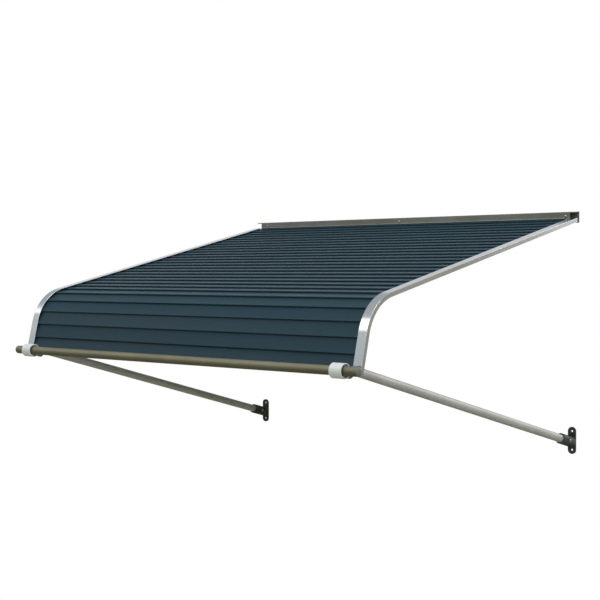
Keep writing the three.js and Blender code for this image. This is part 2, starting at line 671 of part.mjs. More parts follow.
function addRail() {
  addPiece('wall_rail', makeRail(), 'rail');
  ['left', 'middle', 'right'].forEach((place, i) => {
    const start = new THREE.Vector3(RAIL_SCREW_X[i], RAIL_FRONT_Y - GAP, RAIL_SCREW_Z);
    addPiece(`rail_screw_${place}`, screw(start, new THREE.Vector3(0, 1, 0), RAIL_SCREW_LENGTH), 'steel');
  });
}

function addSide(name, side) {
  addPiece(`${name}_side_frame`, makeFrame(side), 'frame');
  addPiece(`${name}_bar_plug`, makePlug(side), 'plug');
  addPiece(`${name}_bar_saddle`, makeSaddle(side), 'plug');
  addPiece(`${name}_saddle_screw`, makeSaddleScrew(side), 'steel');
  addPiece(`${name}_collar`, makeCollar(side), 'white');
  addPiece(`${name}_arm_fitting`, makeFitting(side), 'tube');
  addPiece(`${name}_collar_screw`, makeCollarScrew(side), 'steel');
  addPiece(`${name}_arm`, makeArm(side), 'tube');
  addPiece(`${name}_wall_bracket`, makeBracket(side), 'cast');
  addPiece(`${name}_bracket_bolt`, makeBracketBolt(side), 'steel');
  addPiece(`${name}_bracket_nut`, makeBracketNut(side), 'steel');
}

addRail();
addSlats();
addPiece('front_bar', makeBar(), 'tube');
addSide('left', -1);
addSide('right', 1);

export default canopy;
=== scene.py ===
# %% [markdown]
# # A slatted door canopy
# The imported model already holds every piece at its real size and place.
# This script gives the pieces their finish: rolled edges, round folds, cast skin, plastic and paint.
# Each new piece is made in metres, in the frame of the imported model, and stands for the plain solid there.
# The wall is the plane Y = 0, the canopy stands out from it towards -Y, and X runs along the wall.

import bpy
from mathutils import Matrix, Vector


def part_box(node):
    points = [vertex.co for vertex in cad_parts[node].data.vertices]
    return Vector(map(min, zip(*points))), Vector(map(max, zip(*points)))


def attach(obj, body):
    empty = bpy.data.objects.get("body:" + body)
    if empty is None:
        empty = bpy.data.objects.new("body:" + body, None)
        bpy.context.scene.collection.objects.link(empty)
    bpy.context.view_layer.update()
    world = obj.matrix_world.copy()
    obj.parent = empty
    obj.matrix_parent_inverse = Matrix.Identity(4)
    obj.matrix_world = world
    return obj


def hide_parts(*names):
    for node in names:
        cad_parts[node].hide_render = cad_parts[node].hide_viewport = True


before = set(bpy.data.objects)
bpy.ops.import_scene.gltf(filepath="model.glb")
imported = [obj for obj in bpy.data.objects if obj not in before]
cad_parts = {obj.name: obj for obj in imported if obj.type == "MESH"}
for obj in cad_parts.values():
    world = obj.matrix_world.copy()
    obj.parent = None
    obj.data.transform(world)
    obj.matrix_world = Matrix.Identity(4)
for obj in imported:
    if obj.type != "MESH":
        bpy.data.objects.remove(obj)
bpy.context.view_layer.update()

# %% Modules
import math
from functools import partial

import bmesh
import bpy
from mathutils import Matrix, Vector, noise

# %% [markdown]
# ## Camera
# The photograph looks along the wall from the right, a little above the front bar, with a long lens.
# A long lens can be told by the slats: they hardly draw together towards the far side.
# The place of the camera was found by fitting the corners of the canopy, so it is written as real metres.

# %% Camera
CAMERA_PLACE = Vector((2.39388, -3.13474, -0.14411))
CAMERA_AZIMUTH = 42.02
CAMERA_PITCH = 1.20
SENSOR = 36.0
FOCAL_PIXELS = 1285.0
IMAGE_PIXELS = 600

camera_data = bpy.data.cameras.new("camera")
camera_data.sensor_width = SENSOR
camera_data.lens = FOCAL_PIXELS * SENSOR / IMAGE_PIXELS
camera_data.clip_end = 60
camera = bpy.data.objects.new("camera", camera_data)
camera.location = CAMERA_PLACE
camera.rotation_euler = (math.radians(90 - CAMERA_PITCH), 0, math.radians(CAMERA_AZIMUTH))
bpy.context.scene.collection.objects.link(camera)
bpy.context.scene.camera = camera
bpy.context.scene.view_settings.view_transform = "Standard"
print("lens", round(camera_data.lens, 2), "mm")

# %% [markdown]
# ## Nodes by hand
# A material in Blender is a small graph. Writing each link out takes many lines, so one helper adds a node
# and joins or sets its inputs by name. A value that is alike all over the surface goes straight on the
# shader's own input, and only what changes over the surface is linked.

# %% Helpers for nodes
def add_node(tree, kind, inputs, **settings):
    node = tree.nodes.new(kind)
    for name, value in settings.items():
        setattr(node, name, value)
    for name, value in inputs.items():
        socket = node.inputs[name]
        if isinstance(value, bpy.types.NodeSocket):
            tree.links.new(value, socket)
        else:
            socket.default_value = value
    return node


def grade(tree, value, low, high, start=0.3, end=0.7):
    """A value between start and end, spread between low and high."""
    names = {"Value": value, "From Min": start, "From Max": end, "To Min": low, "To Max": high}
    return add_node(tree, "ShaderNodeMapRange", names).outputs[0]


def blend_colours(tree, share, first, second):
    node = add_node(tree, "ShaderNodeMix", {}, data_type="RGBA")
    for index, value in ((0, share), (6, first), (7, second)):
        if isinstance(value, bpy.types.NodeSocket):
            tree.links.new(value, node.inputs[index])
        else:
            node.inputs[index].default_value = value
    return node.outputs[2]


def speckle(tree, vector, scale, detail=3.0):
    inputs = {"Vector": vector, "Scale": scale, "Detail": detail}
    return add_node(tree, "ShaderNodeTexNoise", inputs).outputs[0]


def linear(red, green, blue):
    """A colour read from a screen, 0 to 255, as the light values that Blender uses."""
    parts = [c / 255 for c in (red, green, blue)]
    return (*[c / 12.92 if c < 0.0405 else ((c + 0.055) / 1.055) ** 2.4 for c in parts], 1.0)


print("slate blue as light", [round(c, 3) for c in linear(45, 62, 72)])

# %% [markdown]
# ## Two kinds of coordinates
# Drawn metal has fine lines along its length, also where it is bent. Plain space coordinates can't follow a
# bend, so each swept piece carries a map in metres: the first number runs along the piece, the second one
# across it. Noise that is stretched along the first number gives the lines. Cast and moulded pieces have no
# such direction, and take their grain straight from space.

# %% Coordinates for the grain
def lengthwise(tree, along, across):
    """Coordinates along and across a swept piece, with a count of details in each metre."""
    uv = add_node(tree, "ShaderNodeUVMap", {}, uv_map="metres").outputs[0]
    return add_node(tree, "ShaderNodeMapping", {"Vector": uv, "Scale": (along, across, 1)}).outputs[0]


def in_space(tree):
    return add_node(tree, "ShaderNodeTexCoord", {}).outputs["Object"]


def folds(tree):
    """1 on a sharp fold or edge of the mesh and 0 on its flat sides."""
    return add_node(tree, "ShaderNodeAttribute", {}, attribute_name="fold").outputs["Fac"]


def bump(tree, height, distance, strength=1.0, normal=None):
    inputs = {"Height": height, "Distance": distance, "Strength": strength}
    if normal is not None:
        inputs["Normal"] = normal
    return add_node(tree, "ShaderNodeBump", inputs).outputs[0]


def new_material(name, **constants):
    """A material with its constant values set, with its node tree and its main shader."""
    material = bpy.data.materials.new(name)
    material.use_nodes = True
    shader = material.node_tree.nodes["Principled BSDF"]
    for key, value in constants.items():
        shader.inputs[key.replace("_", " ")].default_value = value
    return material, material.node_tree, shader


def join(tree, shader, **sources):
    for key, source in sources.items():
        tree.links.new(source, shader.inputs[key.replace("_", " ")])


# %% [markdown]
# ## Satin aluminium
# The side frames, the rail and the tubes are drawn through a die, so their finish is satin with long fine
# lines. The metal is the same one. On the bar it is a darker tone a little towards olive, which is painted
# shade, and on the rail it is darker too; both have a rougher surface. The rail and the arms are also a
# little chalky, so they are not quite a full metal. One function makes all four, with the tones and the
# roughness as its arguments.

# %% Drawn metal
DIE_LINES = (3, 2600)
STAINS = (14, 160)
CLOUDS = 9.0
FINE_RELIEF = 0.00002


def drawn_metal(name, tone, worn_tone, roughness, metallic=1.0):
    """The lines change the shine and the relief, the clouds and stains change the tone."""
    material, tree, shader = new_material(name, Metallic=metallic)
    lines = speckle(tree, lengthwise(tree, *DIE_LINES), 1.0, 2.0)
    cloud = speckle(tree, in_space(tree), CLOUDS, 4.0)
    stain = speckle(tree, lengthwise(tree, *STAINS), 1.0, 5.0)
    colour = blend_colours(tree, grade(tree, cloud, 0, 1), worn_tone, tone)
    colour = blend_colours(tree, grade(tree, stain, 0, 0.35, 0.55, 0.8), colour, worn_tone)
    rough = grade(tree, lines, roughness - 0.05, roughness + 0.07)
    join(tree, shader, Base_Color=colour, Roughness=rough)
    join(tree, shader, Normal=bump(tree, lines, FINE_RELIEF, 0.5))
    return material


FRAME_METAL = drawn_metal("satin_aluminium", linear(220, 223, 224), linear(202, 205, 206), 0.18)
# The bar's darker, olive tone is painted shade on the same metal as the arms.
BAR_METAL = drawn_metal("shade_darkened_aluminium", linear(150, 147, 126), linear(138, 134, 112), 0.6)
ARM_METAL = drawn_metal("pale_aluminium", linear(204, 204, 201), linear(190, 190, 185), 0.58, 0.65)
RAIL_METAL = drawn_metal("darker_rail_aluminium", linear(134, 135, 127), linear(118, 118, 109), 0.45, 0.55)
print("metals", [m.name for m in (FRAME_METAL, BAR_METAL, ARM_METAL, RAIL_METAL)])

# %% [markdown]
# ## Slate blue enamel
# The slats are painted before they are folded. The paint is even, with a soft shine, a faint skin like that
# of an orange, and a slightly paler line along each fold: partly paint stretched over the fold, partly a
# painted highlight on the noses. Dust settles unevenly, so the shine and the tone drift a little along each
# slat.

# %% Enamel
DRIFT = (5, 40)
ORANGE_SKIN = 1400.0
DUST = 260.0


def enamel(name, tone, dust_and_highlight_tone, deep_tone):
    material, tree, shader = new_material(name, IOR=1.5, Specular_IOR_Level=0.14)
    drift = speckle(tree, lengthwise(tree, *DRIFT), 1.0, 3.0)
    skin = speckle(tree, in_space(tree), ORANGE_SKIN, 2.0)
    dust = speckle(tree, in_space(tree), DUST, 6.0)
    colour = blend_colours(tree, grade(tree, drift, 0, 1, 0.35, 0.65), deep_tone, tone)
    # Paler on the folds: partly paint stretched over each fold, partly a painted highlight on the noses.
    colour = blend_colours(tree, grade(tree, folds(tree), 0, 0.55, 0, 1), colour, dust_and_highlight_tone)
    colour = blend_colours(tree, grade(tree, dust, 0, 0.12, 0.55, 0.75), colour, dust_and_highlight_tone)
    join(tree, shader, Base_Color=colour, Roughness=grade(tree, drift, 0.42, 0.52))
    join(tree, shader, Normal=bump(tree, skin, FINE_RELIEF, 0.3))
    return material


SLAT_PAINT = enamel("slate_enamel", linear(28, 55, 66), linear(62, 88, 99), linear(25, 51, 62))
print("paint", SLAT_PAINT.name)

# %% [markdown]
# ## Plastic, cast iron and plated steel
# The collars are moulded in white plastic, smooth with a faint mould grain. The plugs and saddles are of a
# dull grey plastic. The wall brackets are cast, then painted almost black: the sand leaves a coarse skin that
# the paint doesn't hide. The fittings between collars and arms get the same skin in a dull grey. The screws
# are plated, so they are bright, with a little grime on them.

# %% Moulded plastic
SMUDGES = 55.0
MOULD_GRAIN = 1800.0
COARSE_RELIEF = 0.00006


def moulded_plastic(name, tone, grimy_tone, roughness, grain):
    material, tree, shader = new_material(name, IOR=1.47)
    cloud = speckle(tree, in_space(tree), SMUDGES, 5.0)
    fine = speckle(tree, in_space(tree), MOULD_GRAIN, 2.0)
    colour = blend_colours(tree, grade(tree, cloud, 0, 0.6, 0.45, 0.8), tone, grimy_tone)
    join(tree, shader, Base_Color=colour, Roughness=grade(tree, cloud, roughness - 0.04, roughness + 0.06))
    join(tree, shader, Normal=bump(tree, fine, grain, 0.5))
    return material


WHITE_TONES = (linear(227, 230, 228), linear(214, 216, 212))
GREY_TONES = (linear(118, 121, 115), linear(100, 102, 95))
WHITE_PLASTIC = moulded_plastic("white_plastic", *WHITE_TONES, 0.34, FINE_RELIEF)
GREY_PLASTIC = moulded_plastic("grey_plastic", *GREY_TONES, 0.5, COARSE_RELIEF)
print("plastics", WHITE_PLASTIC.name, GREY_PLASTIC.name)


# %% Painted casting
SAND_GRAINS, SAND_RELIEF = 900.0, 0.00015
PITS, PIT_RELIEF = 240.0, 0.0004
RUBBED_SPOTS = 60.0


def painted_casting(name, tone, rubbed_tone):
    material, tree, shader = new_material(name, IOR=1.5)
    sand = speckle(tree, in_space(tree), SAND_GRAINS, 4.0)
    pits = speckle(tree, in_space(tree), PITS, 5.0)
    cloud = speckle(tree, in_space(tree), RUBBED_SPOTS, 4.0)
    colour = blend_colours(tree, grade(tree, cloud, 0, 0.5, 0.45, 0.75), tone, rubbed_tone)
    colour = blend_colours(tree, grade(tree, folds(tree), 0, 0.7, 0.15, 1), colour, rubbed_tone)
    join(tree, shader, Base_Color=colour, Roughness=grade(tree, sand, 0.42, 0.66))
    rough_skin = bump(tree, pits, PIT_RELIEF, 0.6)
    join(tree, shader, Normal=bump(tree, sand, SAND_RELIEF, 0.7, rough_skin))
    return material


CAST_PAINT = painted_casting("black_casting", linear(46, 49, 46), linear(92, 95, 90))
FITTING_METAL = painted_casting("dull_casting", linear(104, 102, 88), linear(134, 132, 118))
print("castings", CAST_PAINT.name, FITTING_METAL.name)


# %% Plated steel
GRIME_SPOTS, GRIME_RELIEF = 700.0, 0.00003


def plated_steel(name, tone, grimy_tone):
    material, tree, shader = new_material(name, Metallic=1.0)
    grime = speckle(tree, in_space(tree), GRIME_SPOTS, 4.0)
    colour = blend_colours(tree, grade(tree, grime, 0, 0.7, 0.5, 0.8), tone, grimy_tone)
    join(tree, shader, Base_Color=colour, Roughness=grade(tree, grime, 0.26, 0.42))
    join(tree, shader, Normal=bump(tree, grime, GRIME_RELIEF, 0.4))
    return material


SCREW_STEEL = plated_steel("plated_steel", linear(190, 190, 186), linear(120, 116, 108))
print("steel", SCREW_STEEL.name)

# %% [markdown]
# ## Outlines with round corners
# A folded sheet or a drawn section has no sharp corners. Each outline is written with its few real corners,
# each with the radius of its fold, and one function turns the corners into arcs. An arc starts where it
# touches the side before the corner: that is the radius over the tangent of half the corner's angle away.

# %% Round corners
MM = 0.001
ARC_STEPS = 5


def corner_arc(before, corner, after, radius):
    to_before = (before - corner).normalized()
    to_after = (after - corner).normalized()
    half = to_before.angle(to_after) / 2
    start = corner + to_before * (radius / math.tan(half))
    centre = corner + (to_before + to_after).normalized() * (radius / math.sin(half))
    turn = math.pi - 2 * half
    if (-to_before).cross(to_after) < 0:
        turn = -turn
    arm = start - centre
    return [centre + Matrix.Rotation(turn * i / ARC_STEPS, 2) @ arm for i in range(ARC_STEPS + 1)]


def round_outline(corners, closed=True):
    """Points of an outline from its corners, each written as x, y and radius in millimetres."""
    points = [Vector((x, y)) * MM for x, y, _ in corners]
    outline = []
    for i, (_, _, radius) in enumerate(corners):
        open_end = not closed and i in (0, len(corners) - 1)
        if radius <= 0 or open_end:
            outline.append(points[i])
            continue
        after = points[(i + 1) % len(points)]
        outline += corner_arc(points[i - 1], points[i], after, radius * MM)
    return outline


def sheet_outline(path, thickness):
    """Closed outline of a sheet, from the line along its middle."""
    sides = ([], [])
    for i, point in enumerate(path):
        ahead = path[min(i + 1, len(path) - 1)] - path[max(i - 1, 0)]
        across = Vector((-ahead.y, ahead.x)).normalized() * (thickness / 2)
        sides[0].append(point + across)
        sides[1].append(point - across)
    return sides[0] + sides[1][::-1]


print("points on a round square", len(round_outline([(0, 0, 1), (9, 0, 1), (9, 9, 1), (0, 9, 1)])))

# %% [markdown]
# ## From outline to mesh
# Almost every piece here is an outline that is carried along a way: along the wall for a slat, round the
# bend for a frame, round an axis for a screw. So one function joins the rings of points into a closed mesh.
# It also writes the map in metres, and marks the folds, which the paint uses.

# %% Sweep an outline
def write_metres(bm, rings, loop):
    """A map in metres: along the way, and round the outline."""
    layer = bm.loops.layers.uv.new("metres")
    along = [0.0]
    for first, second in zip(rings, rings[1:] + rings[:1]):
        steps = [(b.co - a.co).length for a, b in zip(first, second)]
        along.append(along[-1] + sum(steps) / len(steps))
    around = [0.0]
    for first, second in zip(rings[0], rings[0][1:] + rings[0][:1]):
        around.append(around[-1] + (second.co - first.co).length)
    places = {v: (i, j) for i, ring in enumerate(rings) for j, v in enumerate(ring)}
    for face in bm.faces:
        spots = [places[l.vert] for l in face.loops]
        last_ring = loop and {s[0] for s in spots} >= {0, len(rings) - 1}
        last_side = len(spots) == 4 and {s[1] for s in spots} >= {0, len(rings[0]) - 1}
        for corner, (i, j) in zip(face.loops, spots):
            i = len(rings) if last_ring and i == 0 else i
            j = len(rings[0]) if last_side and j == 0 else j
            corner[layer].uv = (along[i], around[j])


def sweep(places, loop=False):
    """A closed mesh from rings of points, each ring a list of places."""
    bm = bmesh.new()
    rings = [[bm.verts.new(p) for p in ring] for ring in places]
    count = len(rings[0])
    pairs = list(zip(rings, rings[1:]))
    if loop:
        pairs.append((rings[-1], rings[0]))
    for first, second in pairs:
        for j in range(count):
            k = (j + 1) % count
            bm.faces.new((first[j], first[k], second[k], second[j]))
    if not loop:
        bm.faces.new(rings[0][::-1])
        bm.faces.new(rings[-1])
    write_metres(bm, rings, loop)
    bmesh.ops.remove_doubles(bm, verts=bm.verts, dist=1e-7)
    bmesh.ops.recalc_face_normals(bm, faces=bm.faces)
    return bm


def turn_outline(outline, start, direction, sides=48):
    """A turned piece. The outline gives distances from the axis and along it."""
    axis = Vector(direction).normalized()
    across = axis.orthogonal().normalized()
    other = axis.cross(across)
    rings = []
    for i in range(sides):
        angle = 2 * math.pi * i / sides
        out = across * math.cos(angle) + other * math.sin(angle)
        rings.append([Vector(start) + out * r + axis * t for r, t in outline])
    return sweep(rings, loop=True)


# %% [markdown]
# ## Finish a piece
# A mesh becomes a piece of the model when it has its material, rides on a body and stands for its solid. Its
# faces are shaded smooth, apart from edges that turn by more than a given angle, and a weighted normal
# keeps the flat sides flat beside their small round corners.

# %% Make a piece of a mesh
SHARP = math.radians(40)
FULL_FOLD = 0.5
pieces = {}


def mark_folds(bm):
    layer = bm.verts.layers.float.get("fold") or bm.verts.layers.float.new("fold")
    for edge in bm.edges:
        edge.smooth = len(edge.link_faces) == 2 and edge.calc_face_angle(0) < SHARP
    for vert in bm.verts:
        turns = [e.calc_face_angle(0) for e in vert.link_edges if len(e.link_faces) == 2]
        vert[layer] = min(1.0, max(turns, default=0) / FULL_FOLD)
    for face in bm.faces:
        face.smooth = True


def new_object(name, bm):
    mark_folds(bm)
    mesh = bpy.data.meshes.new(name)
    bm.to_mesh(mesh)
    bm.free()
    thing = bpy.data.objects.new(name, mesh)
    bpy.context.scene.collection.objects.link(thing)
    return thing


def dress(thing, node, material):
    """The object becomes the piece that stands for a node."""
    thing.data.materials.clear()
    thing.data.materials.append(material)
    weighted = thing.modifiers.new("flat_sides", "WEIGHTED_NORMAL")
    weighted.keep_sharp = True
    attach(thing, "root")
    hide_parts(node)
    pieces[thing.name] = len(thing.data.polygons)


def shape_with(thing, *modifiers):
    """Adds modifiers, given as a kind and its settings, and keeps their result as the mesh."""
    for kind, settings in modifiers:
        modifier = thing.modifiers.new(kind.lower(), kind)
        for name, value in settings.items():
            setattr(modifier, name, value)
    graph = bpy.context.evaluated_depsgraph_get()
    shaped = bpy.data.meshes.new_from_object(thing.evaluated_get(graph))
    thing.modifiers.clear()
    thing.data = shaped
    return thing


def cut_or_join(thing, others, operation="DIFFERENCE"):
    for other in others:
        shape_with(thing, ("BOOLEAN", {"operation": operation, "object": other, "solver": "EXACT"}))
        bpy.data.objects.remove(other)
    return thing


def remark(thing):
    """Marks the folds again after a cut."""
    bm = bmesh.new()
    bm.from_mesh(thing.data)
    mark_folds(bm)
    bm.to_mesh(thing.data)
    bm.free()
    return thing


def block(name, low, high):
    bm = bmesh.new()
    bmesh.ops.create_cube(bm, size=1)
    low, high = Vector(low), Vector(high)
    size = high - low
    bmesh.ops.scale(bm, vec=size, verts=bm.verts)
    bmesh.ops.translate(bm, vec=(low + high) / 2, verts=bm.verts)
    return new_object(name, bm)


# %% [markdown]
# ## The side profile
# Seen from the side, the roof is a straight slope, a bend and a short drop. Every long piece follows this
# line at some depth below its outer surface, so the line is written once, as three small functions. Each
# takes a distance or an angle and a depth, and gives the place as Y and Z. A fourth one takes a length along
# the whole line. Pieces that touch keep a small gap, and what comes in pairs is made side by side.

# %% Side profile
GAP = 0.3 * MM
SIDES = (("left", -1), ("right", 1))
ROOF_TOP = 12.4 * MM
SLOPE = math.radians(13.26)
SLOPE_LENGTH = 868 * MM
BEND_RADIUS = 121 * MM
DROP_LEAN = math.radians(13.4)
DROP_LENGTH = 90 * MM
BEND_ANGLE = math.pi / 2 - DROP_LEAN - SLOPE


def on_slope(distance, depth):
    y = -distance * math.cos(SLOPE) + depth * math.sin(SLOPE)
    return Vector((y, ROOF_TOP - distance * math.sin(SLOPE) - depth * math.cos(SLOPE)))


def on_bend(angle, depth):
    turn = SLOPE + angle
    arm = Vector((-math.sin(turn), math.cos(turn)))
    return on_slope(SLOPE_LENGTH, BEND_RADIUS) + arm * (BEND_RADIUS - depth)


def on_drop(distance, depth):
    return on_bend(BEND_ANGLE, depth) - Vector((math.sin(DROP_LEAN), math.cos(DROP_LEAN))) * distance


def on_profile(length, depth):
    bend_length = (BEND_RADIUS - depth) * BEND_ANGLE
    if length <= SLOPE_LENGTH:
        return on_slope(length, depth)
    if length <= SLOPE_LENGTH + bend_length:
        return on_bend((length - SLOPE_LENGTH) / (BEND_RADIUS - depth), depth)
    return on_drop(length - SLOPE_LENGTH - bend_length, depth)


print("lower end of the drop", [round(c, 4) for c in on_drop(DROP_LENGTH, 0)])

# %% [markdown]
# ## Side frames
# Each frame is one drawn channel, bent once. Its section is a C that is open towards the slats. Its lips are
# fully round, and its outer corners have a small radius, which catch the light as thin bright lines. The
# bend needs many short steps, or the highlight on it would break up.

# %% Side frames
OUTER_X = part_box("right_side_frame")[1].x
FACE = 25
DEPTH = 11
WALL = 2
FRAME_START = 27.5 * MM
SLOPE_STEPS, BEND_STEPS, DROP_STEPS = 12, 64, 3

C_SECTION = round_outline([
    (0, 0, 0.8), (FACE, 0, 0.95), (FACE, WALL, 0.95), (WALL, WALL, 0.6),
    (WALL, DEPTH - WALL, 0.6), (FACE, DEPTH - WALL, 0.9), (FACE, DEPTH, 0.9), (0, DEPTH, 0.8),
])


def frame_stations():
    reach = SLOPE_LENGTH - FRAME_START
    straight = [partial(on_slope, FRAME_START + reach * i / SLOPE_STEPS) for i in range(SLOPE_STEPS)]
    bend = [partial(on_bend, BEND_ANGLE * i / BEND_STEPS) for i in range(BEND_STEPS + 1)]
    drop = [partial(on_drop, DROP_LENGTH * i / DROP_STEPS) for i in range(1, DROP_STEPS + 1)]
    return straight + bend + drop


def side_frame(name, side):
    rings = []
    for at in frame_stations():
        rings.append([Vector((side * (OUTER_X - across), *at(depth))) for across, depth in C_SECTION])
    return new_object(f"{name}_frame_channel", sweep(rings))


for name, side in SIDES:
    dress(side_frame(name, side), f"{name}_side_frame", FRAME_METAL)
print("frame faces", pieces["right_frame_channel"])

# %% [markdown]
# ## Slats
# A slat is one folded sheet. Its upper edge lies under the slat above, its face rises to a round nose, and
# the sheet then turns down to meet the next slat and ends in a narrow hem. The places of the noses follow
# from the pitch: each one is a straight pitch further down the profile. Thin sheet is never dead flat, so the
# face gets a wave of a tenth of a millimetre or two, which makes the long highlights waver.

# %% Slat section
PITCH = 37.6
SHEET = 0.8
STEP = 4.6
LAP = 4.5
RECESS = 3
HEM = 3.4
FACE_START = 1.2
LAP_FOLD, NOSE_FOLD, HEM_FOLD = 1.5, 1.25, 0.6
EDGE_BOTTOM = 0.4 - STEP
SLAT_END_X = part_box("slat_02")[1].x
SLAT_FIRST = 30.8 * MM
LAST_EDGE = 76.5 * MM


def slat_outline(pitch):
    middle = SHEET / 2
    path = [
        (-LAP, -STEP - middle, 0),
        (FACE_START, -STEP - middle, LAP_FOLD),
        (pitch - middle, -middle, NOSE_FOLD),
        (pitch - middle, EDGE_BOTTOM + middle, HEM_FOLD),
        (pitch - HEM, EDGE_BOTTOM + middle, 0),
    ]
    return sheet_outline(round_outline(path, closed=False), SHEET * MM)


def next_edge(length):
    """Length along the profile that lies one pitch, in a straight line, after another."""
    here = on_profile(length, RECESS * MM)
    low, high = length + PITCH * MM, length + PITCH * MM * 1.1
    for _ in range(30):
        middle = (low + high) / 2
        if (on_profile(middle, RECESS * MM) - here).length < PITCH * MM:
            low = middle
        else:
            high = middle
    return (low + high) / 2


# %% One slat
SLAT_STEPS = 40
WAVE = 0.16 * MM
WAVES_PER_METRE = 3.1
SPREAD = 40


def along_wall(reach, steps):
    """Even places from one end of a long piece to the other."""
    return [reach * (2 * i / steps - 1) for i in range(steps + 1)]


def slat(name, start, end):
    """A slat between the noses of two neighbours, given as Y and Z."""
    ahead = (end - start).normalized()
    outward = Vector((ahead.y, -ahead.x))
    pitch = (end - start).length
    rings = []
    for x in along_wall(SLAT_END_X, SLAT_STEPS):
        ring = []
        for u, v in slat_outline(pitch / MM):
            belly = max(0.0, math.sin(math.pi * min(1.0, max(0.0, u / pitch))))
            spot = Vector((x * WAVES_PER_METRE, start.x * SPREAD, start.y * SPREAD))
            wave = noise.noise(spot) * WAVE * belly
            ring.append(Vector((x, *(start + ahead * u + outward * (v + wave)))))
        rings.append(ring)
    return new_object(name, sweep(rings))


print("points in a slat's outline", len(slat_outline(PITCH)))

# %% Lay the slats
full_slats = [n for n in sorted(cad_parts) if n.startswith("slat_")][1:-1]
edge = SLAT_FIRST
for node in full_slats:
    following = next_edge(edge)
    made = slat(f"{node}_sheet", on_profile(edge, RECESS * MM), on_profile(following, RECESS * MM))
    dress(made, node, SLAT_PAINT)
    edge = following

last_node = f"slat_{len(full_slats) + 2}"
made = slat(f"{last_node}_sheet", on_profile(edge, RECESS * MM), on_drop(LAST_EDGE, RECESS * MM))
dress(made, last_node, SLAT_PAINT)
last_pitch = (on_drop(LAST_EDGE, RECESS * MM) - on_profile(edge, RECESS * MM)).length
print("slats", len(full_slats) + 1, "last one", round(last_pitch / MM, 1), "mm")

# %% [markdown]
# ## Top slat
# The first slat is narrow. Its upper edge is turned up behind the rail's band, where three screws hold it,
# and its nose is folded down like the others. At both ends the turned-up edge stops short of the frames.

# %% Top slat
RAIL_LOW, RAIL_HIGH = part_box("wall_rail")
BAND_HALF = OUTER_X - (FACE + 0.5) * MM
BAND_Y = -22
TONGUE_Y = BAND_Y + 2.3
TONGUE_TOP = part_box("slat_01")[1].z
TOP_SLAT_STEPS = 20
CUT_LOW, CUT_HIGH = -0.02, 0.04


def top_slat_outline():
    down = RECESS + SHEET / 2
    tongue_y = TONGUE_Y + SHEET / 2
    at_band = on_slope(-tongue_y * MM / math.cos(SLOPE), down * MM) / MM
    nose = on_slope(SLAT_FIRST - SHEET / 2 * MM, down * MM) / MM
    bottom = on_slope(SLAT_FIRST - SHEET / 2 * MM, (RECESS - EDGE_BOTTOM - SHEET / 2) * MM) / MM
    hem = on_slope(SLAT_FIRST - HEM * MM, (RECESS - EDGE_BOTTOM - SHEET / 2) * MM) / MM
    path = [
        (tongue_y, TONGUE_TOP / MM, 0), (*at_band, 1.2), (*nose, NOSE_FOLD), (*bottom, HEM_FOLD), (*hem, 0),
    ]
    return sheet_outline(round_outline(path, closed=False), SHEET * MM)


def top_slat():
    xs = along_wall(SLAT_END_X, TOP_SLAT_STEPS)
    made = new_object("slat_01_sheet", sweep([[Vector((x, *p)) for p in top_slat_outline()] for x in xs]))
    behind = on_slope(FRAME_START, 0).x
    cutters = []
    for side in (-1, 1):
        ends = sorted((side * BAND_HALF, side * (SLAT_END_X + MM)))
        cutters.append(block("notch", (ends[0], behind, CUT_LOW), (ends[1], 0, CUT_HIGH)))
    return remark(cut_or_join(made, cutters))


dress(top_slat(), "slat_01", SLAT_PAINT)
print("top slat faces", pieces["slat_01_sheet"])

# %% [markdown]
# ## Wall rail
# The rail is a drawn section too: a flange on the wall, a hood that falls a little to the front, a band that
# hides the tongue of the top slat, and a lip that throws the rain on to the roof. The band and the lip are
# sawn back between the frames, and only the flange and the hood run on over them.

# %% Wall rail
FLANGE = 2.4
RAIL_WALL = 2
LIP_REACH = 2.2
LIP_EDGE = 0.9
COPE = 4
RAIL_STEPS = 24
LIP_Z = RAIL_LOW.z / MM + 10.44
BAND_BOTTOM = LIP_Z + 3.5
HOOD_Z = RAIL_HIGH.z / MM - 1.4

RAIL_SECTION = round_outline([
    (0, RAIL_LOW.z / MM, 0.5), (0, RAIL_HIGH.z / MM, 0.6),
    (BAND_Y, HOOD_Z, 1.4), (BAND_Y, BAND_BOTTOM, 0.8),
    (BAND_Y - LIP_REACH, LIP_Z + LIP_EDGE, 0.4), (BAND_Y - LIP_REACH + LIP_EDGE, LIP_Z, 0.4),
    (BAND_Y + RAIL_WALL, BAND_BOTTOM - 0.5, 0.8), (BAND_Y + RAIL_WALL, HOOD_Z - RAIL_WALL, 0.8),
    (-FLANGE, RAIL_HIGH.z / MM - RAIL_WALL, 0.8), (-FLANGE, RAIL_LOW.z / MM, 0.5),
])


def wall_rail():
    xs = along_wall(RAIL_HIGH.x, RAIL_STEPS)
    made = new_object("rail_extrusion", sweep([[Vector((x, *p)) for p in RAIL_SECTION] for x in xs]))
    cope = RAIL_HIGH.z - COPE * MM
    cutters = []
    for side in (-1, 1):
        ends = sorted((side * BAND_HALF, side * (RAIL_HIGH.x + MM)))
        front = (BAND_Y - 2 * LIP_REACH) * MM
        cutters.append(block("cope", (ends[0], front, CUT_LOW), (ends[1], -FLANGE * MM, cope)))
    return remark(cut_or_join(made, cutters))


dress(wall_rail(), "wall_rail", RAIL_METAL)
print("rail", [round(v, 4) for v in (*RAIL_LOW, *RAIL_HIGH)])

# %% [markdown]
# ## Bar and arms
# The bar and both arms are round tubes of the same size. A saw leaves a crisp end that is then broken with a
# file, so the ends get a small bevel. A tube is made as its wall's outline turned round the axis, which gives
# the bore as well. Its map in metres has to run along the tube, so here the rings are laid along the axis.

# %% Tubes
TUBE_SIDES = 72
TUBE_STEPS = 8
TUBE_EASE = 0.35 * MM
BAR_LOW, BAR_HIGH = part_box("front_bar")
BAR_CENTRE = (BAR_LOW + BAR_HIGH) / 2
BAR_RADIUS = 11 * MM
TUBE_WALL = 1.6 * MM


